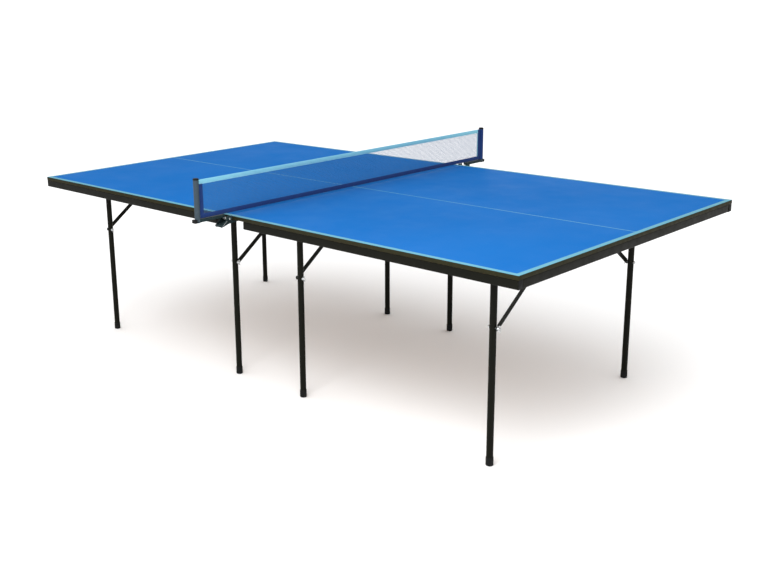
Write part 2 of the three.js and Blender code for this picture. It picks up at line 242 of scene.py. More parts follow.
def painted_blue():
    s = Surface("painted_blue", Specular_IOR_Level=0.004)
    cloud = s.noise(1.7, detail=3)
    grain = s.noise(420, detail=2)
    tone = s.mix(s.between(cloud, 0.35, 0.65), rgb(20, 92, 161), rgb(23, 95, 165))
    tone = s.mix(s.between(grain, 0.3, 0.8, 0.0, 0.20), tone, rgb(20, 106, 176))
    marks = s.between(s.speckle(9), 0.0, 0.05, 0.05, 0.0)
    scuffs = s.between(s.noise(14, detail=6, stretch=(1, 5, 1)), 0.68, 0.76, 0.0, 0.05)
    s.colour(s.mix(s.maths("MAXIMUM", marks, scuffs), tone, rgb(90, 140, 185)))
    s.roughness(s.between(s.noise(6, detail=5), 0.3, 0.7, 0.42, 0.56))
    s.relief(s.noise(700, detail=2), 0.00008)
    return s.material


def painted_line():
    s = Surface("painted_line", Specular_IOR_Level=0.02)
    tone = s.mix(s.noise(30, detail=5), rgb(82, 140, 158), rgb(98, 150, 166))
    worn = s.between(s.noise(160, detail=6), 0.62, 0.72, 0.0, 0.35)
    s.colour(s.mix(worn, tone, rgb(70, 138, 172)))
    s.roughness(s.between(s.noise(12), 0.3, 0.7, 0.4, 0.52))
    s.relief(s.noise(700, detail=2), 0.00008)
    return s.material


def edge_band():
    s = Surface("edge_band", Specular_IOR_Level=0.05)
    tone = s.mix(s.noise(45, detail=4), rgb(31, 30, 17), rgb(41, 39, 23))
    chips = s.between(s.noise(240, detail=5), 0.70, 0.76, 0.0, 0.5)
    s.colour(s.mix(chips, tone, rgb(92, 82, 66)))
    s.roughness(s.between(s.noise(60), 0.3, 0.7, 0.42, 0.6))
    s.relief(s.noise(500, detail=3, stretch=(1, 1, 4)), 0.00006)
    return s.material


def raw_board():
    s = Surface("raw_board", roughness=0.85, Specular_IOR_Level=0.2)
    fibres = s.noise(260, detail=8, stretch=(1, 3, 1))
    tone = s.mix(s.noise(5, detail=4), rgb(122, 92, 62), rgb(146, 112, 78))
    s.colour(s.mix(s.between(fibres, 0.35, 0.7, 0.0, 0.55), tone, rgb(96, 70, 46)))
    s.roughness(s.between(fibres, 0.3, 0.7, 0.75, 0.92))
    s.relief(fibres, 0.0002)
    return s.material


def powder_coat(name, dark, light, worn):
    s = Surface(name, Specular_IOR_Level=0.07)
    tone = s.mix(s.noise(4, detail=4), dark, light)
    scratches = s.between(s.noise(240, detail=8, stretch=(1, 1, 0.3)), 0.66, 0.72, 0.0, 0.35)
    chips = s.between(s.speckle(55), 0.0, 0.055, 0.55, 0.0)
    s.colour(s.mix(s.maths("MAXIMUM", scratches, chips), tone, worn))
    s.roughness(s.between(s.noise(35, detail=5), 0.3, 0.7, 0.36, 0.52))
    s.relief(s.noise(900, detail=1), 0.00012)
    s.relief(s.noise(170, detail=2), 0.00010)
    return s.material


def zinc_plate():
    s = Surface("zinc_plate", metallic=1.0)
    tone = s.mix(s.noise(90, detail=5), rgb(168, 172, 176), rgb(214, 216, 216))
    tarnish = s.between(s.noise(210, detail=6), 0.58, 0.72, 0.0, 0.45)
    s.colour(s.mix(tarnish, tone, rgb(140, 130, 104)))
    s.roughness(s.between(s.noise(320, detail=4), 0.3, 0.7, 0.22, 0.42))
    s.relief(s.noise(900, detail=2), 0.00004)
    return s.material


def moulded_plastic(name, dark, light, rough=(0.5, 0.68)):
    s = Surface(name, Specular_IOR_Level=0.12)
    s.colour(s.mix(s.noise(120, detail=5), dark, light))
    s.roughness(s.between(s.noise(90, detail=4), 0.3, 0.7, *rough))
    s.relief(s.noise(1300, detail=2), 0.00009)
    return s.material


def woven_cloth(name, dark, light, threads):
    """Woven tape: two crossed ribs at the given threads per metre, with painted shade in the hollows between
    them and a soft sheen.
    """
    s = Surface(name, Sheen_Weight=0.04, Sheen_Roughness=0.5, Specular_IOR_Level=0.1)
    inputs = {"Vector": s.space, "Scale": threads * math.tau / 20, "Distortion": 0.4, "Detail": 1.0}
    ribs = []
    for axis in ("Y", "Z"):
        wave = s.node("ShaderNodeTexWave", inputs, bands_direction=axis)
        ribs.append(wave.outputs["Fac"])
    weave = s.maths("MULTIPLY", *ribs)
    tone = s.mix(s.noise(40, detail=4), dark, light)
    # Where the ribs dip, the tone is drawn up to 22% towards half its dark colour: painted shade in the
    # hollows of the weave.
    s.colour(s.mix(s.between(weave, 0.0, 1.0, 0.22, 0.0), tone, tuple(0.5 * c for c in dark[:3]) + (1,)))
    s.roughness(s.between(s.noise(80), 0.3, 0.7, 0.75, 0.92))
    s.relief(weave, 0.00025)
    return s.material


def nylon_thread():
    s = Surface("nylon_thread", Specular_IOR_Level=0.3)
    s.colour(s.mix(s.noise(60, detail=3), rgb(30, 72, 114), rgb(42, 86, 128)))
    s.roughness(s.between(s.noise(200), 0.3, 0.7, 0.55, 0.75))
    s.relief(s.noise(2500, detail=2), 0.0001)
    return s.material


def studio_floor():
    s = Surface("studio_floor", Specular_IOR_Level=0.1)
    s.colour(s.mix(s.noise(0.6, detail=2), rgb(247, 247, 247), rgb(250, 250, 250)))
    s.roughness(s.between(s.noise(3), 0.3, 0.7, 0.85, 0.95))
    return s.material


BLUE = painted_blue()
LINE = painted_line()
BAND = edge_band()
FIBREBOARD = raw_board()
FRAME_COAT = powder_coat("frame_coat", rgb(8, 9, 5), rgb(17, 17, 10), rgb(50, 48, 36))
NET_COAT = powder_coat("net_coat", rgb(44, 54, 62), rgb(60, 72, 80), rgb(112, 118, 122))
CLIP_COAT = powder_coat("clip_coat", rgb(20, 32, 34), rgb(34, 48, 50), rgb(150, 160, 162))
ZINC = zinc_plate()
BLACK_PLASTIC = moulded_plastic("black_plastic", rgb(11, 12, 12), rgb(19, 20, 20))
RUBBER = moulded_plastic("clip_rubber", rgb(22, 22, 24), rgb(34, 34, 36), rough=(0.78, 0.92))
TAPE_CLOTH = woven_cloth("tape_cloth", rgb(112, 176, 196), rgb(132, 190, 206), 1100)
NAVY_CLOTH = woven_cloth("navy_cloth", rgb(20, 44, 94), rgb(29, 55, 108), 1100)
PALE_THREAD = woven_cloth("pale_thread", rgb(160, 206, 220), rgb(188, 222, 232), 2600)
DARK_THREAD = woven_cloth("dark_thread", rgb(34, 58, 116), rgb(48, 74, 134), 2600)
NET_THREAD = nylon_thread()


# ---------------- mesh helpers

def paint(verts, slot):
    """Gives a material slot to the faces that meet these corners."""
    for face in {face for vert in verts for face in vert.link_faces}:
        face.material_index = slot


def edges_of(verts):
    """The edges that meet these corners."""
    return list({edge for vert in verts for edge in vert.link_edges})


def rounded(bm, edges, radius, segments=2):
    bmesh.ops.bevel(bm, geom=edges, offset=radius, segments=segments, profile=0.5, affect="EDGES")


def box(bm, low, high, radius=0.0, segments=2):
    """A block between two corners, its edges rounded to radius."""
    low, high = Vector(low), Vector(high)
    place = Matrix.Translation((low + high) / 2) @ Matrix.Diagonal((*(high - low), 1))
    verts = bmesh.ops.create_cube(bm, size=1.0, matrix=place)["verts"]
    if radius:
        rounded(bm, edges_of(verts), radius, segments)


def loft(bm, rings, looped=False):
    """Skins between rings of points. It ends in flat faces, or on its first ring again if looped."""
    made = [[bm.verts.new(point) for point in ring] for ring in rings]
    count = len(made[0])
    pairs = list(zip(made, made[1:]))
    if looped:
        pairs.append((made[-1], made[0]))
    for near, far in pairs:
        for i in range(count):
            j = (i + 1) % count
            bm.faces.new((near[i], near[j], far[j], far[i]))
    if not looped:
        bm.faces.new(reversed(made[0]))
        bm.faces.new(made[-1])
    return [vert for ring in made for vert in ring]


def lathe(bm, profile, place=Matrix(), sides=32, looped=False):
    """Turns (radius, height) pairs about the local Z axis, with flat end faces unless looped."""
    angles = [math.tau * i / sides for i in range(sides)]
    rings = [[place @ Vector((r * math.cos(a), r * math.sin(a), z)) for a in angles] for r, z in profile]
    return loft(bm, rings, looped)


def drill(radius, place, start, end):
    """A cutter for a round hole along the local Z axis."""
    return shape("drill", lambda bm: lathe(bm, [(radius, start), (radius, end)], place, SMALL_SIDES))


def prism(bm, outline, from_x, to_x, radius=0.0, place=Matrix()):
    """Extrudes a (y, z) outline along X and rounds the edges of both ends."""
    rings = [[place @ Vector((x, y, z)) for y, z in outline] for x in (from_x, to_x)]
    verts = loft(bm, rings)
    if radius:
        count = len(outline)
        ends = [set(verts[:count]), set(verts[count:])]
        rims = [e for e in edges_of(verts) if any(set(e.verts) <= end for end in ends)]
        rounded(bm, rims, radius)


def arc(middle, radius, start, end, steps):
    """Points in degrees from start to end round a middle."""
    turn = (math.radians(start + (end - start) * i / steps) for i in range(steps + 1))
    return [(middle[0] + radius * math.cos(a), middle[1] + radius * math.sin(a)) for a in turn]


def bar_outline(length, radius, steps=20):
    """A bar with round ends from (0, 0) to (length, 0)."""
    return arc((length, 0), radius, -90, 90, steps) + arc((0, 0), radius, 90, 270, steps)


def box_ring(halves, inset=0.0, steps=4):
    """A rectangle of half sides halves with round corners, drawn inwards by inset."""
    corner = TUBE_CORNER - min(inset, TUBE_WALL)
    a_inner, b_inner = (half - inset - corner for half in halves)
    ring = []
    for start, (a, b) in zip((0, 90, 180, 270), ((1, 1), (-1, 1), (-1, -1), (1, -1))):
        ring += arc((a * a_inner, b * b_inner), corner, start, start + 90, steps)
    return ring


def box_tube(bm, halves, length, place):
    """An open rectangular tube along the local Z axis, centred on the origin."""
    outer, eased, inner = (box_ring(halves, inset) for inset in (0, 0.0003, TUBE_WALL))
    end = length / 2
    steps = [(outer, -end + 0.0003), (outer, end - 0.0003), (eased, end), (inner, end), (inner, -end),
             (eased, -end)]
    loft(bm, [[place @ Vector((a, b, z)) for a, b in ring] for ring, z in steps], looped=True)


def sweep(bm, points, radius, sides=8):
    """A round wire along a list of points."""
    points = [Vector(point) for point in points]
    rings, side = [], None
    for i, point in enumerate(points):
        ahead = points[min(i + 1, len(points) - 1)] - points[max(i - 1, 0)]
        ahead.normalize()
        if side is None:
            side = ahead.orthogonal()
        side = (side - ahead * side.dot(ahead)).normalized()
        other = ahead.cross(side)
        turn = [math.tau * k / sides for k in range(sides)]
        rings.append([point + radius * (math.cos(a) * side + math.sin(a) * other) for a in turn])
    loft(bm, rings)


def smoothed(mesh, sharp=35):
    """The mesh with smooth faces that break at edges over the sharp angle."""
    mesh.shade_smooth()
    mesh.set_sharp_from_angle(angle=math.radians(sharp))
    return mesh


def shape(name, build, *materials):
    """A mesh made by build(bm)."""
    bm = bmesh.new()
    build(bm)
    bmesh.ops.recalc_face_normals(bm, faces=bm.faces)
    mesh = bpy.data.meshes.new(name)
    bm.to_mesh(mesh)
    bm.free()
    for material in materials:
        mesh.materials.append(material)
    return smoothed(mesh)


def piece(name, mesh, body, replaces=(), place=Matrix()):
    """Puts a mesh in the scene, riding on a body and standing for the CAD nodes it replaces."""
    made = bpy.data.objects.new(name, mesh)
    bpy.context.scene.collection.objects.link(made)
    made.matrix_world = place
    bpy.context.view_layer.update()
    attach(made, body)
    if replaces:
        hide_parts(*replaces)
    return made


def carved(mesh, cutters):
    """The mesh with each cutter mesh taken out of it."""
    scene = bpy.context.scene.collection
    body = bpy.data.objects.new(mesh.name, mesh)
    scene.objects.link(body)
    tools = []
    for cutter in cutters:
        tool = bpy.data.objects.new("cutter", cutter)
        scene.objects.link(tool)
        tools.append(tool)
        cut = body.modifiers.new("cut", "BOOLEAN")
        cut.object = tool
        cut.solver = "EXACT"
    bpy.context.view_layer.update()
    graph = bpy.context.evaluated_depsgraph_get()
    result = bpy.data.meshes.new_from_object(body.evaluated_get(graph))
    for made in (body, *tools):
        bpy.data.objects.remove(made)
    return smoothed(result)


# ---------------- places taken from the frame

def joint(name):
    return next(j for j in frame["joints"] if j["name"] == name)


LEG_LABELS = [j["name"][len("leg_fold_"):] for j in frame["joints"] if j["name"].startswith("leg_fold_")]
SIDES = {"left": -1, "right": 1}
ROWS = ("outer", "inner")
NET_ENDS = ("front", "back")
HALF_BODY = {side: f"{side}_half" for side in SIDES}


def leg_place(label):
    """From the leg's own frame, on the floor under it with +X away from its beam, to the row frame."""
    hinge = joint(f"leg_fold_{label}")
    turn = 0 if hinge["axis"][0] > 0 else math.pi
    x, y, _ = hinge["pos_m"]
    return Matrix.Translation((x, y, 0)) @ Matrix.Rotation(turn, 4, "Z")


def local_box(node, label):
    """The box of one of a leg station's nodes, in that leg's own frame."""
    corners = [leg_place(label).inverted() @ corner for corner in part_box(f"{node}_{label}")]
    return [Vector(map(pick, *corners)) for pick in (min, max)]


FIRST = LEG_LABELS[0]
LEG_LOW, LEG_HIGH = local_box("leg", FIRST)
FOOT_HIGH = local_box("foot", FIRST)[1]
HINGE_X, HINGE_Y, HINGE_Z = joint(f"leg_fold_{FIRST}")["pos_m"]
BOLT_Z = joint(f"wing_nut_turn_{FIRST}")["pos_m"][2]
BRACE_DROP = HINGE_Z - BOLT_Z
BRACE_RUN = abs(joint(f"brace_swing_{FIRST}")["pos_m"][1] - HINGE_Y)
BRACE_SLOPE = math.atan2(BRACE_DROP, BRACE_RUN)
LEG_RADIUS = LEG_HIGH.x
END_RAIL_LOW, END_RAIL_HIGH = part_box("end_rail_left")
FRAME_TOP = END_RAIL_HIGH.z
BEAM_HALF = (END_RAIL_HIGH.x - END_RAIL_LOW.x) / 2
FIRST_BEAM_X = sum(corner.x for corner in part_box("beam_left_outer")) / 2
BEAM_FACE = FIRST_BEAM_X - HINGE_X + BEAM_HALF
TABLE_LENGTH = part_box("board_right")[1].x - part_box("board_left")[0].x


# ---------------- boards

def board(side):
    """A painted board with pale border lines, a dark edge band and a bare underside."""
    low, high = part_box(f"board_{side}")
    sign = SIDES[side]
    end_line = sign * (TABLE_LENGTH / 2 - LINE_WIDTH)
    side_line = high.y - LINE_WIDTH
    cuts = [((end_line, 0, 0), (1, 0, 0))]
    cuts += [((0, y, 0), (0, 1, 0)) for y in (-side_line, side_line)]
    cuts += [((0, y, 0), (0, 1, 0)) for y in (-CENTRE_LINE_WIDTH / 2, CENTRE_LINE_WIDTH / 2)]

    def build(bm):
        box(bm, low, high, BOARD_ROUND)
        for point, normal in cuts:
            everything = [*bm.verts, *bm.edges, *bm.faces]
            bmesh.ops.bisect_plane(bm, geom=everything, plane_co=point, plane_no=normal)
        bmesh.ops.recalc_face_normals(bm, faces=bm.faces)
        for face in bm.faces:
            middle = face.calc_center_median()
            lined = abs(middle.x) > abs(end_line) or abs(middle.y) > side_line
            lined = lined or abs(middle.y) < CENTRE_LINE_WIDTH / 2
            if face.normal.z > 0.6:
                face.material_index = 1 if lined else 0
            else:
                face.material_index = 3 if face.normal.z < -0.9 else 2

    mesh = shape(f"painted_board_{side}", build, BLUE, LINE, BAND, FIBREBOARD)
    piece(f"painted_board_{side}", mesh, HALF_BODY[side], [f"board_{side}"])


# ---------------- steel frame

def weld_round(bm, middle, halves, place):
    """A lumpy bead round a tube's end, in the plane z = middle of place."""
    steps = 16
    loop = [point for a, b in zip(SQUARE, SQUARE[1:] + SQUARE[:1]) for point in walk(a, b, steps)]
    rings = []
    for a, b in loop:
        size = WELD_RADIUS * random.uniform(0.85, 1.15)
        outward = Vector((a, b, 0)).normalized()
        centre = Vector((a * halves[0], b * halves[1], middle))
        turn = [math.tau * k / 6 for k in range(6)]
        rings.append([place @ (centre + size * (math.cos(t) * outward + math.sin(t) * Vector((0, 0, 1))))
                      for t in turn])
    loft(bm, rings, looped=True)


def walk(start, end, steps):
    """Points from start up to, but not at, the end."""
    return [tuple(s + (e - s) * i / steps for s, e in zip(start, end)) for i in range(steps)]


def end_plug(bm, halves, place):
    """A plastic plug in the open end of a tube: a thin flange and the block inside the tube."""
    flange, domed, block = (box_ring(halves, inset) for inset in (0.0002, 0.0012, TUBE_WALL + 0.0001))
    steps = [(block, -0.012), (block, 0.0), (flange, 0.0), (flange, 0.0003), (domed, 0.0008)]
    return loft(bm, [[place @ Vector((a, b, z)) for a, b in ring] for ring, z in steps])


def rail(node, axis, body, plugged):
    """A rail along one axis, with plugs in its open ends or weld beads round its welded ones."""
    low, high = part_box(node)
    depth, width = (high.z - low.z) / 2, (high[1 - axis] - low[1 - axis]) / 2
    halves = (width, depth) if axis else (depth, width)
    length = high[axis] - low[axis]
    place = Matrix.Translation((low + high) / 2) @ ALONG[axis]

    def build(bm):
        box_tube(bm, halves, length, place)
        for end in (-1, 1):
            if plugged:
                flip = Matrix.Rotation(math.pi if end < 0 else 0, 4, "X")
                paint(end_plug(bm, halves, place @ flip @ Matrix.Translation((0, 0, length / 2))), 1)
            else:
                weld_round(bm, end * length / 2, halves, place)

    name = f"{node}_tube"
    piece(name, shape(name, build, FRAME_COAT, BLACK_PLASTIC), body, [node])


def stud(bm, place, collar_end, head_start):
    """A shouldered stud along the local X axis, welded to the beam's side, with a peened head."""
    turned = place @ AXIS_X
    collar = [(STUD_RADIUS + 0.0018, BEAM_FACE - 0.0005), (STUD_RADIUS + 0.0014, BEAM_FACE + 0.0006),
              (STUD_RADIUS + 0.0003, BEAM_FACE + 0.0018), (STUD_RADIUS, BEAM_FACE + 0.0026),
              (STUD_RADIUS, collar_end - 0.0004), (STUD_RADIUS - 0.0004, collar_end)]
    lathe(bm, collar, turned)
    neck = PIVOT_RADIUS - 0.0001
    head = [(neck, collar_end - 0.0002), (neck, head_start), (STUD_RADIUS - 0.0003, head_start),
            (STUD_RADIUS, head_start + 0.0003), (STUD_RADIUS, head_start + 0.0012),
            (STUD_RADIUS - 0.0008, head_start + 0.0020), (STUD_RADIUS - 0.0025, head_start + 0.0025),
            (0.0016, head_start + 0.0026), (0.0012, head_start + 0.0021)]
    paint(lathe(bm, head, turned), 1)


def strap_stud(bm, at_brace, brace_start, strap_start):
    """A bent strap over the folded leg, holding an outside brace's stud."""
    top = FRAME_TOP - STRAP_DROP - HINGE_Z
    under = top - STRAP_THICKNESS
    outer, bottom = strap_start + STRAP_THICKNESS, STRAP_BOTTOM - HINGE_Z
    bend = STRAP_BEND
    outline = [(BEAM_FACE - 0.0008, under), (BEAM_FACE - 0.0008, top)]
    outline += arc((outer - bend, top - bend), bend, 90, 0, 6)
    outline += [(outer, bottom), (strap_start, bottom)]
    outline += arc((outer - bend, top - bend), bend - STRAP_THICKNESS, 0, 90, 6)
    prism(bm, outline, -STRAP_WIDTH / 2, STRAP_WIDTH / 2, 0.0004, at_brace @ SWAP_XY)
    toe = [at_brace @ Vector((BEAM_FACE + 0.0002, y, under)) for y in (-0.010, -0.004, 0.003, 0.010)]
    sweep(bm, toe, WELD_RADIUS)
    start = LEG_RADIUS + GAP
    knob = [(0.0012, start + 0.0005), (0.0018, start), (STUD_RADIUS - 0.0022, start + 0.0001),
            (STUD_RADIUS - 0.0006, start + 0.0006), (STUD_RADIUS, start + 0.0014),
            (STUD_RADIUS, brace_start - GAP), (PIVOT_RADIUS - 0.0001, brace_start - GAP),
            (PIVOT_RADIUS - 0.0001, outer + 0.0006), (PIVOT_RADIUS - 0.0012, outer + 0.0012)]
    paint(lathe(bm, knob, at_brace @ AXIS_X), 1)


def beam(side, row):
    """A cross beam with the studs that its two legs and their braces turn on."""
    node = f"beam_{side}_{row}"
    low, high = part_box(node)
    middle = Vector(((low.x + high.x) / 2, 0, FRAME_TOP - BEAM_HALF))
    halves = (BEAM_HALF, BEAM_HALF)
    place = Matrix.Translation(middle) @ ALONG[1]
    labels = [label for label in LEG_LABELS if label.startswith(f"{side}_{row}_")]

    def build(bm):
        box_tube(bm, halves, high.y - low.y, place)
        for end in (-1, 1):
            weld_round(bm, end * high.y, halves, place)
        for label in labels:
            at_leg = leg_place(label) @ Matrix.Translation((0, 0, HINGE_Z))
            at_brace = at_leg @ Matrix.Translation((0, BRACE_RUN, 0))
            brace_low, brace_high = local_box("brace", label)
            stud(bm, at_leg, LEG_LOW.x - GAP, LEG_HIGH.x + GAP)
            if brace_low.x < 0:
                stud(bm, at_brace, brace_low.x - GAP, brace_high.x + GAP)
            else:
                strap_stud(bm, at_brace, brace_low.x, brace_high.x + STRAP_CLEARANCE)

    mesh = shape(f"{node}_welded", build, FRAME_COAT, ZINC)
    piece(f"{node}_welded", mesh, HALF_BODY[side], [node])


def rail_screws(side):
    """Pan-head screws up through the frame into the board."""
    sign = SIDES[side]
    rail_under, beam_under = END_RAIL_LOW.z, FRAME_TOP - 2 * BEAM_HALF
    rails_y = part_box(f"side_rail_{side}_back")[0].y + BEAM_HALF
    places = [(x, y, rail_under) for x in SIDE_SCREWS for y in (-rails_y, rails_y)]
    end_x = abs(sum(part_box(f"end_rail_{side}"), Vector()).x) / 2
    places += [(end_x, y, rail_under) for y in CROSS_SCREWS]
    places += [(abs(sum(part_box(f"beam_{side}_{row}"), Vector()).x) / 2, y, beam_under)
               for row in ROWS for y in CROSS_SCREWS]
    profile = [(0.0050, 0.0), (0.0052, -0.0006), (0.0047, -0.0016), (0.0036, -0.0023), (0.0022, -0.0026),
               (0.0020, -0.0014), (0.0006, -0.0012)]

    def build(bm):
        for x, y, under in places:
            lathe(bm, profile, Matrix.Translation((sign * x, y, under)), SCREW_SIDES)
            for turn in (0, math.pi / 2):
                place = Matrix.Translation((sign * x, y, under - 0.0019)) @ Matrix.Rotation(turn + x, 4, "Z")
                slot = [place @ Vector(corner) for corner in ((-0.0019, -0.0003, 0), (0.0019, -0.0003, 0),
                                                             (0.0019, 0.0003, 0), (-0.0019, 0.0003, 0))]
                paint(loft(bm, [slot, [point + Vector((0, 0, 0.0010)) for point in slot]]), 1)

    name = f"rail_screws_{side}"
    piece(name, shape(name, build, ZINC, BLACK_PLASTIC), HALF_BODY[side])


# ---------------- folding legs

def leg_mesh():
    """A round tube with eased ends, drilled for its hinge stud and brace bolt, and a plug in its top."""
    outer, inner = LEG_RADIUS, LEG_RADIUS - TUBE_WALL
    bottom, top = LEG_LOW.z, LEG_HIGH.z
    tube = [(outer, bottom + 0.0004), (outer, top - 0.0004), (outer - 0.0004, top), (inner, top),
            (inner, bottom), (outer - 0.0004, bottom)]
    plug = [(inner - 0.0001, top - PLUG_DEPTH), (inner - 0.0001, top + 0.0001),
            (outer - 0.0006, top + 0.0001), (outer - 0.0009, top + 0.0006),
            (outer - 0.0030, top + 0.0009), (0.002, top + 0.0010)]
    whole = shape("leg_tube", lambda bm: lathe(bm, tube, sides=LEG_SIDES, looped=True), FRAME_COAT)
    holes = [drill(radius + GAP, Matrix.Translation((0, 0, z)) @ AXIS_X, -HOLE_REACH, HOLE_REACH)
             for radius, z in ((PIVOT_RADIUS, HINGE_Z), (BOLT_RADIUS, BOLT_Z))]
    drilled = carved(whole, holes)

    def build(bm):
        bm.from_mesh(drilled)
        paint(lathe(bm, plug, sides=LEG_SIDES), 1)

    return shape("leg_tube", build, FRAME_COAT, BLACK_PLASTIC)


def foot_mesh():
    """A moulded cup with a beaded rim and a rounded tread."""
    outer, height, floor = FOOT_HIGH.x, FOOT_HIGH.z, LEG_LOW.z - GAP
    bore = LEG_RADIUS + 0.00015
    tread = arc((outer - FOOT_ROUND, FOOT_ROUND), FOOT_ROUND, 0, -90, 8)
    profile = [(0.002, floor), (bore, floor), (bore, height - 0.0004), (bore + 0.0003, height),
               (outer - 0.0004, height), (outer, height - 0.0004), (outer, height - 0.0045),
               (outer - 0.0005, height - 0.0050), (outer - 0.0005, height - 0.0060),
               (outer, height - 0.0065), *tread, (outer - 0.006, 0.0), (outer - 0.0065, 0.0006),
               (0.002, 0.0006)]
    return shape("foot_cup", lambda bm: lathe(bm, profile, sides=LEG_SIDES), BLACK_PLASTIC)


def brace_mesh(label):
    """A flat strip, drilled at its pivot, with a notch that hooks over the brace bolt."""
    length = math.hypot(BRACE_RUN, BRACE_DROP)
    swing_ratio = (math.pi - BRACE_SLOPE) / (math.pi / 2)
    exit_angle = math.atan2(BRACE_RUN * swing_ratio, BRACE_DROP * (1 - swing_ratio))
    at_pivot = Matrix.Translation((0, BRACE_RUN, HINGE_Z)) @ Matrix.Rotation(math.pi + BRACE_SLOPE, 4, "X")
    at_bolt = Matrix.Translation((0, 0, BOLT_Z)) @ Matrix.Rotation(exit_angle, 4, "X")
    low, high = (corner.x for corner in local_box("brace", label))
    before, after = low - 0.001, high + 0.001
    bar, slot = bar_outline(length, BRACE_WIDTH / 2), bar_outline(NOTCH_LENGTH, NOTCH_RADIUS)
    strip = shape("brace_strip", lambda bm: prism(bm, bar, low, high, 0.0005, at_pivot), FRAME_COAT)
    notch = shape("notch", lambda bm: prism(bm, slot, before, after, 0, at_bolt))
    return carved(strip, [notch, drill(BRACE_HOLE, at_pivot @ AXIS_X, before, after)])


def bolt_mesh(label):
    """A pan-head bolt through leg and brace, threaded at its end, with a washer under the nut."""
    start, end = (corner.x for corner in local_box("brace_bolt", label))
    clamp = local_box("wing_nut", label)[0].x - GAP
    brace_start = local_box("brace", label)[0].x
    head = min(brace_start, -LEG_RADIUS) - GAP
    profile = [(0.0030, start), (0.0046, start + 0.0003), (0.0054, start + 0.0013),
               (BOLT_HEAD_RADIUS, start + 0.0020), (BOLT_HEAD_RADIUS, head), (BOLT_RADIUS, head),
               (BOLT_RADIUS, clamp)]
    turns = round((end - 0.0008 - clamp) / THREAD_PITCH)
    for i in range(turns):
        x = clamp + i * THREAD_PITCH
        profile += [(BOLT_RADIUS - THREAD_DEPTH, x + THREAD_PITCH / 2), (BOLT_RADIUS, x + THREAD_PITCH)]
    profile += [(BOLT_RADIUS - THREAD_DEPTH, end)]
    bore = BOLT_RADIUS + 0.0002
    inside, outside = clamp + 0.00005, clamp + WASHER_THICKNESS
    washer = [(bore, inside), (WASHER_RADIUS, inside), (WASHER_RADIUS, outside - 0.0002),
              (WASHER_RADIUS - 0.0003, outside), (bore, outside)]
    first, last = LEG_RADIUS + 0.00005, brace_start - GAP
    spacer = [(bore, first), (SPACER_RADIUS - 0.0002, first), (SPACER_RADIUS, first + 0.0002),
              (SPACER_RADIUS, last - 0.0002), (SPACER_RADIUS - 0.0002, last), (bore, last)]

    def build(bm):
        place = Matrix.Translation((0, 0, BOLT_Z)) @ AXIS_X
        lathe(bm, profile, place, SMALL_SIDES)
        lathe(bm, washer, place, looped=True)
        if brace_start > 0:
            lathe(bm, spacer, place, looped=True)

    return shape("brace_bolt_threaded", build, ZINC)


def wing_nut_mesh(label):
    """A cast wing nut: a tapered hub and two ears with rounded tips."""
    start = local_box("wing_nut", label)[0].x + WASHER_THICKNESS - 0.0001
    hub = [(0.0035, start), (0.0057, start), (0.0060, start + 0.0003), (0.0060, start + 0.0014),
           (0.0050, start + 0.0056), (0.0046, start + 0.0060), (0.0037, start + 0.0060),
           (0.0033, start + 0.0056), (0.0033, start + 0.0004)]
    ear = [(0.0008, 0.0036), (0.0022, 0.0070), *arc((0.0080, 0.0092), 0.0028, 165, -35, 10),
           (0.0064, 0.0052), (0.0056, 0.0036)]

    def build(bm):
        lathe(bm, hub, Matrix.Translation((0, 0, BOLT_Z)) @ AXIS_X, looped=True)
        for turn in (0, math.pi):
            place = Matrix.Translation((start, 0, BOLT_Z)) @ Matrix.Rotation(turn, 4, "X") @ SWAP_XY
            prism(bm, ear, -0.0014, 0.0014, 0.0008, place)

    return shape("wing_nut_cast", build, ZINC)


def folding_legs():
    """Eight stations, whose braces, bolts and nuts come in two kinds, one for each way of bracing."""
    leg_tube, foot_cup = leg_mesh(), foot_mesh()
    clamps = {}
    for label in LEG_LABELS:
        outside = local_box("brace", label)[0].x > 0
        if outside not in clamps:
            clamps[outside] = (brace_mesh(label), bolt_mesh(label), wing_nut_mesh(label))
        strip, bolt, nut = clamps[outside]
        for node, name, mesh, body, slot in (
            ("leg", "leg_tube", leg_tube, "leg", "frame_steel"),
            ("foot", "foot_cup", foot_cup, "leg", "foot_plastic"),
            ("brace", "brace_strip", strip, "brace", "frame_steel"),
            ("brace_bolt", "brace_bolt_threaded", bolt, "leg", "bright_steel"),
            ("wing_nut", "wing_nut_cast", nut, "wing_nut", "bright_steel"),
        ):
            piece(f"{name}_{label}", mesh, f"{body}_{label}", [f"{node}_{label}"], leg_place(label))


# ---------------- net and its clips

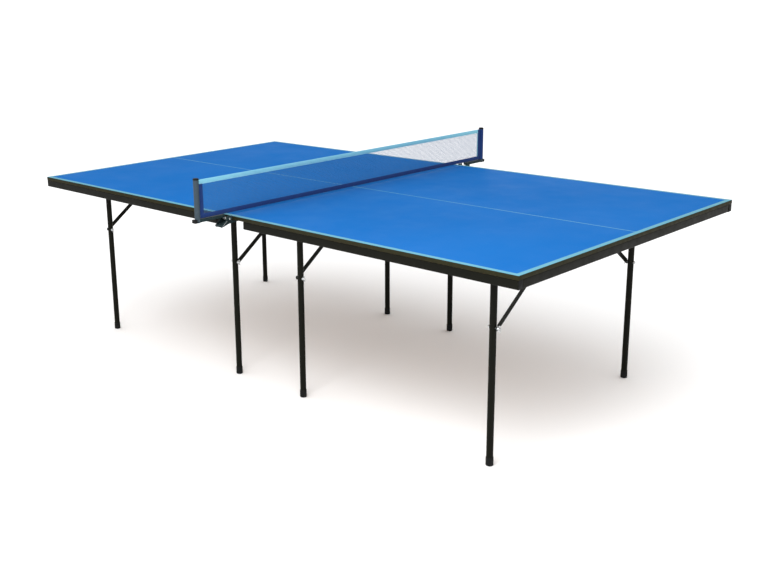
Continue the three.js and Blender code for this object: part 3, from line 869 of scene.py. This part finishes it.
def bracket_mesh():
    """The front net bracket: top plate with two cheeks, arm and post, with the welds between them."""
    low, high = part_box("net_bracket_front")
    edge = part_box("board_left")[0].y
    plate_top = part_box("board_left")[1].z + GAP + CLIP_PLATE
    plate_under = plate_top - CLIP_PLATE
    arm_top = plate_top + ARM_ABOVE_PLATE
    inner, outer, round_z = edge - CHEEK_START, edge - CHEEK_END, low.z + CHEEK_ROUND
    cheek = [(inner, plate_top - 0.0010), (outer, plate_top - 0.0010),
             *arc((outer + CHEEK_ROUND, round_z), CHEEK_ROUND, 180, 270, 6),
             *arc((inner - CHEEK_ROUND, round_z), CHEEK_ROUND, 270, 360, 6)]
    bead_y = [edge - ARM_START - y for y in (0.0005, 0.002, 0.004, 0.0055)]

    def build(bm):
        before = set(bm.verts)
        box(bm, (low.x, edge - CHEEK_END, plate_under), (high.x, high.y, plate_top), 0.0013)
        for x in (low.x, high.x - CLIP_PLATE):
            prism(bm, cheek, x, x + CLIP_PLATE, 0.0006)
        box(bm, (-ARM_WIDTH / 2, low.y, arm_top - ARM_HEIGHT),
            (ARM_WIDTH / 2, edge - ARM_START, arm_top), 0.0020, 3)
        for x in (-1, 1):
            sweep(bm, [(x * ARM_WIDTH / 2, y, plate_top) for y in bead_y], ARM_WELD_RADIUS)
        paint(set(bm.verts) - before, 1)
        post = [(POST_RADIUS - 0.0006, POST_BOTTOM), (POST_RADIUS, POST_BOTTOM + 0.0006),
                (POST_RADIUS, high.z - 0.0006), (POST_RADIUS - 0.0006, high.z)]
        lathe(bm, post, Matrix.Translation((0, POST_Y, 0)), POST_SIDES)

    solid = shape("net_bracket_welded", build, NET_COAT, CLIP_COAT)
    return carved(solid, [pin_hole()])


def pin_hole():
    """A cutter for the bore that the pin goes through."""
    place = Matrix.Translation(joint("clip_open_front")["pos_m"]) @ AXIS_X
    return drill(PIN_RADIUS + GAP, place, -PIN_HOLE_REACH, PIN_HOLE_REACH)


def post_caps_mesh():
    """A domed cap on the post's top, a disc under it and a square cup over the arm's outer end."""
    low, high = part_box("net_bracket_front")
    foot, head = POST_BOTTOM, high.z
    shell = POST_RADIUS + 0.0010
    top = [(shell - 0.0002, head - 0.005), (shell, head - 0.0046), (shell, head - 0.0010),
           (shell - 0.0016, head + 0.0008), (shell - 0.0045, head + 0.0016), (0.001, head + 0.0020)]
    disc = [(0.002, foot - 0.0012), (POST_RADIUS - 0.0014, foot - 0.0012),
            (POST_RADIUS - 0.0002, foot - 0.0002), (POST_RADIUS - 0.0002, foot + 0.0002)]
    cup_low = (-ARM_WIDTH / 2 - 0.0011, low.y - 0.0016, foot - 0.0008)
    cup_high = (ARM_WIDTH / 2 + 0.0011, POST_Y - POST_RADIUS + 0.003, foot + ARM_HEIGHT + 0.0014)

    def build(bm):
        place = Matrix.Translation((0, POST_Y, 0))
        lathe(bm, top, place, POST_SIDES)
        lathe(bm, disc, place, POST_SIDES)
        box(bm, cup_low, cup_high, 0.0024, 4)

    return shape("post_caps", build, BLACK_PLASTIC)


def lever_mesh():
    """The spring clip's lower jaw and thumb handle: a pressed channel with a rubber pad on the jaw."""
    pin = Vector(joint("clip_open_front")["pos_m"])
    place = Matrix.Translation(pin)
    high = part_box("clip_lever_front")[1]
    half, wall = high.x, LEVER_WALL
    pad_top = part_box("board_left")[0].z - GAP - pin.z
    jaw = high.y - pin.y
    side = [(-0.038, -0.023), *arc((-0.0365, -0.0275), 0.0036, 160, 290, 6), (0, -0.020), (jaw, -0.016),
            (jaw, pad_top - 0.0030), (0.050, pad_top - 0.0030), (0.048, -0.011), (0.014, -0.011),
            (0.006, -0.001), *arc((0, 0), 0.0050, 10, 170, 8), (-0.006, 0.0005)]
    hollow = [(-0.037, -0.0265), (0, -0.0172), (0.047, -0.0142), (0.047, 0.008), (-0.037, 0.008)]
    body = shape("lever", lambda bm: prism(bm, side, -half, half, 0.0009, place), CLIP_COAT)
    scoop = shape("scoop", lambda bm: prism(bm, hollow, wall - half, half - wall, 0, place))
    channel = carved(body, [scoop, pin_hole()])

    def build(bm):
        bm.from_mesh(channel)
        pad_low = Vector((-half + 0.001, 0.051, pad_top - 0.0031))
        pad_high = Vector((half - 0.001, jaw - 0.001, pad_top))
        before = set(bm.verts)
        box(bm, place @ pad_low, place @ pad_high, 0.0009)
        paint(set(bm.verts) - before, 1)

    return shape("lever_channel", build, CLIP_COAT, RUBBER)


def spring_mesh():
    """A bright torsion spring on the pin: a coil and a long arm down each side of the handle."""
    pin = Vector(joint("clip_open_front")["pos_m"])
    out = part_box("clip_lever_front")[1].x + SPRING_CLEARANCE
    start = math.radians(245)
    turns = [start + math.radians(15) * i for i in range(49)]

    def build(bm):
        for hand in (-1, 1):
            coil = [(hand * (out - SPRING_INSET + SPRING_LEAD * (t - start) / math.tau),
                     SPRING_RADIUS * math.cos(t), SPRING_RADIUS * math.sin(t)) for t in turns]
            sweep(bm, [pin + Vector(p) for p in coil], SPRING_WIRE)
            arm = [(hand * out, SPRING_RADIUS * math.cos(t), SPRING_RADIUS * math.sin(t))
                   for t in [math.radians(60 + 15 * i) for i in range(12)]]
            arm += [(hand * (out - inward), y, z) for inward, y, z in (
                (0, -0.012, -0.0095), (0, -0.024, -0.0185), (0, -0.0345, -0.0275),
                (0.0012, -0.0362, -0.0305), (0.0040, -0.0366, -0.0322), (0.0085, -0.0366, -0.0322))]
            sweep(bm, [pin + Vector(p) for p in arm], SPRING_WIRE)

    return shape("clip_spring", build, ZINC)


def pin_mesh():
    """The pin that a lever turns on, riveted at both ends."""
    pin = Vector(joint("clip_open_front")["pos_m"])
    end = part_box("clip_pin_front")[1].x
    head = end - PIN_HEAD
    half = [(PIN_RADIUS, 0.001), (PIN_RADIUS, head), (0.0037, head), (0.0040, head + 0.0003),
            (0.0040, head + 0.0009), (0.0034, end - 0.0004), (0.0022, end), (0.0008, end)]
    profile = [(r, -x) for r, x in reversed(half)] + half
    return shape("pin_riveted", lambda bm: lathe(bm, profile, Matrix.Translation(pin) @ AXIS_X), ZINC)


def net_clips():
    """Both ends of the net set: the back end is the front one turned half round."""
    kinds = [
        ("net_bracket", "net_bracket_welded", bracket_mesh(), "net_steel"),
        ("clip_lever", "lever_channel", lever_mesh(), "net_steel"),
        ("clip_pin", "pin_riveted", pin_mesh(), "bright_steel"),
        (None, "post_caps", post_caps_mesh(), "foot_plastic"),
        (None, "clip_spring", spring_mesh(), "bright_steel"),
    ]
    for end in NET_ENDS:
        turn = Matrix.Rotation(0 if end == "front" else math.pi, 4, "Z")
        for node, name, mesh, slot in kinds:
            body = f"clip_lever_{end}" if name in ("lever_channel", "clip_spring") else "left_half"
            piece(f"{name}_{end}", mesh, body, [f"{node}_{end}"] if node else [], turn)


def net_lattice():
    """Knotted threads in the plane x = 0, each wandering a little between its knots."""
    low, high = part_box("net")
    bottom, top = low.z + HEM_HEIGHT - NET_TUCK, high.z - TAPE_HEIGHT + NET_TUCK
    columns = round((high.y - low.y) / MESH_PITCH)
    rows = round((top - bottom) / MESH_PITCH)
    knots = [[knot(low, high, bottom, top, i / columns, j / rows) for i in range(columns + 1)]
             for j in range(rows + 1)]

    def build(bm):
        for line in knots + [list(column) for column in zip(*knots)]:
            thread(bm, line)
        for line in knots[1:-1]:
            for point in line[1:-1]:
                bead(bm, Matrix.Translation(point) @ Matrix.Scale(KNOT_RADIUS, 4))

    mesh = shape("net_threads", build, NET_THREAD)
    net = piece("net_threads", mesh, "left_half", ["net"])
    return net, (high.y - low.y, top - bottom)


def knot(low, high, bottom, top, across, up):
    """A knot's place, given how far across and up the net it is, from 0 to 1."""
    y = low.y + (high.y - low.y) * across + random.uniform(-KNOT_WANDER, KNOT_WANDER)
    z = bottom + (top - bottom) * up + random.uniform(-KNOT_WANDER, KNOT_WANDER)
    return Vector((random.uniform(-KNOT_WANDER, KNOT_WANDER), y, z + sag(y)))


def thread(bm, points):
    """An open tube through the knots."""
    ahead = (points[-1] - points[0]).normalized()
    side = Vector((1, 0, 0))
    other = ahead.cross(side)
    turn = [math.tau * k / THREAD_SIDES for k in range(THREAD_SIDES)]
    rings = [[bm.verts.new(point + THREAD_RADIUS * (math.cos(t) * side + math.sin(t) * other)) for t in turn]
             for point in points]
    for near, far in zip(rings, rings[1:]):
        for k in range(THREAD_SIDES):
            bm.faces.new((near[k], near[k - 1], far[k - 1], far[k]))


def bead(bm, place):
    """An eight-sided knot."""
    ends = [bm.verts.new(place @ Vector((0, 0, z))) for z in (-1, 1)]
    belt = [bm.verts.new(place @ Vector(p)) for p in ((1, 0, 0), (0, 1, 0), (-1, 0, 0), (0, -1, 0))]
    for k in range(4):
        bm.faces.new((belt[k - 1], belt[k], ends[1]))
        bm.faces.new((belt[k], belt[k - 1], ends[0]))


def sag(y):
    """How far the net's cloth hangs below a straight line between its posts."""
    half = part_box("net")[1].y
    return -NET_SAG * (1 - (y / half) ** 2)


def cloth_band(bm, bottom, top, thickness):
    """A folded cloth band in the plane x = 0 that runs the length of the net."""
    start, end = (corner.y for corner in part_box("net"))
    half = thickness / 2
    rings = []
    for i in range(CLOTH_STEPS + 1):
        y = start + (end - start) * i / CLOTH_STEPS
        low, high = bottom + sag(y), top + sag(y)
        bulge = half * random.uniform(0.92, 1.08)
        ring = [(bulge, low + half), (0.45 * bulge, low), (-0.45 * bulge, low), (-bulge, low + half),
                (-0.8 * bulge, (low + high) / 2), (-bulge, high - half), (-0.45 * bulge, high),
                (0.45 * bulge, high), (bulge, high - half), (0.8 * bulge, (low + high) / 2)]
        rings.append([Vector((x, y, z)) for x, z in ring])
    loft(bm, rings)


def cloth_strip(bm, outer, inner_low, inner_high, bottom, top, thickness):
    """An upright strip whose inner edge may slope."""
    half = thickness / 2
    rings = []
    for i in range(STRIP_STEPS + 1):
        z = bottom + (top - bottom) * i / STRIP_STEPS
        inner = inner_low + (inner_high - inner_low) * i / STRIP_STEPS
        ring = [(half, outer), (half, inner), (-half, inner), (-half, outer)]
        rings.append([Vector((x, y, z)) for x, y in ring])
    loft(bm, rings)


def stitched(heights, thickness):
    """A builder of running stitches on both faces of a band of this thickness."""
    start, end = (corner.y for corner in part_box("net"))
    skin = thickness / 2 - STITCH_SUNK

    def build(bm):
        for i in range(round((end - start) / STITCH_PITCH) - 2):
            y = start + STITCH_PITCH * (i + 1)
            for z, x in itertools.product(heights, (-skin, skin)):
                ends = [(x, y + along, z + sag(y)) for along in (0, 0.0006, 0.0024, 0.0030)]
                sweep(bm, ends, STITCH_RADIUS, 5)

    return build


def sleeve(bm):
    """The cloth rolled round the back post."""
    low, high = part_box("net")
    shell = POST_RADIUS + 0.0009
    foot, head = low.z + 0.001, high.z - 0.001
    rolled = [(shell - 0.0006, foot), (shell, foot + 0.0006), (shell + 0.0001, foot + 0.004),
              (shell, foot + 0.006), (shell, head - 0.006), (shell + 0.0001, head - 0.004),
              (shell, head - 0.0006), (shell - 0.0006, head)]
    lathe(bm, rolled, Matrix.Translation((0, -POST_Y, 0)), POST_SIDES)


def net_bands():
    """The top tape, the bottom hem, an end strip beside each post, and the stitches that hold them."""
    low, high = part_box("net")
    tape_under, hem_top = high.z - TAPE_HEIGHT, low.z + HEM_HEIGHT
    strip_bottom, strip_top = hem_top - 0.001, tape_under + 0.001

    def tape(bm):
        cloth_band(bm, tape_under, high.z, TAPE_THICKNESS)

    def hem(bm):
        cloth_band(bm, low.z, hem_top, HEM_THICKNESS)

    def strips(bm):
        for end, sign, top, thickness in (("front", -1, strip_top, 0.0030), ("back", 1, high.z, 0.0046)):
            outer = sign * (high.y - 0.0002)
            foot, head = (outer - sign * width for width in STRIP_WIDTHS[end])
            cloth_strip(bm, outer, foot, head, strip_bottom, top, thickness)

    def piping(bm):
        foot, head = (high.y - width for width in STRIP_WIDTHS["back"])
        cloth_strip(bm, foot, foot - PIPING, head - PIPING, strip_bottom, strip_top, 0.0034)

    bands = [
        ("net_tape", tape, TAPE_CLOTH),
        ("net_hem", hem, NAVY_CLOTH),
        ("net_end_strips", strips, NAVY_CLOTH),
        ("net_sleeve", sleeve, NAVY_CLOTH),
        ("net_piping", piping, TAPE_CLOTH),
        ("net_tape_stitches", stitched([tape_under + 0.0022], TAPE_THICKNESS), PALE_THREAD),
        ("net_hem_stitches", stitched([hem_top - 0.0024, low.z + 0.0024], HEM_THICKNESS), DARK_THREAD),
    ]
    return [piece(name, shape(name, build, material), "left_half")
            for name, build, material in bands]


# ---------------- studio

def studio():
    """A wide pale floor in an even white room, a soft key light and one softbox."""
    floor = bpy.data.meshes.new("floor")
    bm = bmesh.new()
    bmesh.ops.create_grid(bm, x_segments=1, y_segments=1, size=FLOOR_HALF)
    bm.to_mesh(floor)
    bm.free()
    floor.materials.append(studio_floor())
    ground = bpy.data.objects.new("studio_floor", floor)
    bpy.context.scene.collection.objects.link(ground)

    world = bpy.data.worlds.new("studio")
    world.use_nodes = True
    room = world.node_tree.nodes["Background"]
    room.inputs["Color"].default_value = (1.0, 1.0, 1.0, 1.0)
    room.inputs["Strength"].default_value = WORLD_LIGHT
    bpy.context.scene.world = world
    bpy.context.scene.view_settings.view_transform = "Standard"

    key = bpy.data.lights.new("key_light", "SUN")
    key.energy = KEY_LIGHT
    key.angle = math.radians(KEY_SPREAD)
    hang("key_light", key, (0, 0, 0), KEY_FROM)
    softbox = bpy.data.lights.new("softbox", "AREA")
    softbox.size = SOFTBOX_SIZE
    softbox.energy = SOFTBOX_POWER
    hang("softbox", softbox, SOFTBOX_AT, Vector(SOFTBOX_AT) - Vector(SOFTBOX_AIM))


def hang(name, light, place, backwards):
    """Places a light that shines away from backwards."""
    lamp = bpy.data.objects.new(name, light)
    lamp.location = place
    lamp.rotation_mode = "QUATERNION"
    lamp.rotation_quaternion = Vector(backwards).to_track_quat("Z", "Y")
    bpy.context.scene.collection.objects.link(lamp)


def camera():
    """The camera that the table is seen from."""
    data = bpy.data.cameras.new("camera")
    data.sensor_width = 36
    data.lens = CAMERA_LENS
    data.shift_x, data.shift_y = CAMERA_SHIFT
    data.clip_end = 100
    view = bpy.data.objects.new("camera", data)
    turn = Matrix.Rotation(CAMERA_TURN, 4, "Z") @ Matrix.Rotation(math.pi / 2 + CAMERA_PITCH, 4, "X")
    view.matrix_world = Matrix.Translation(CAMERA_AT) @ turn @ Matrix.Rotation(-CAMERA_ROLL, 4, "Z")
    bpy.context.scene.collection.objects.link(view)
    bpy.context.scene.camera = view


camera()
studio()
for half in SIDES:
    board(half)
    for end in NET_ENDS:
        rail(f"side_rail_{half}_{end}", 0, HALF_BODY[half], plugged=True)
    rail(f"end_rail_{half}", 1, HALF_BODY[half], plugged=False)
    for row in ROWS:
        beam(half, row)
    rail_screws(half)
folding_legs()
net_clips()
net_cloth, net_size = net_lattice()
trimmings = net_bands()
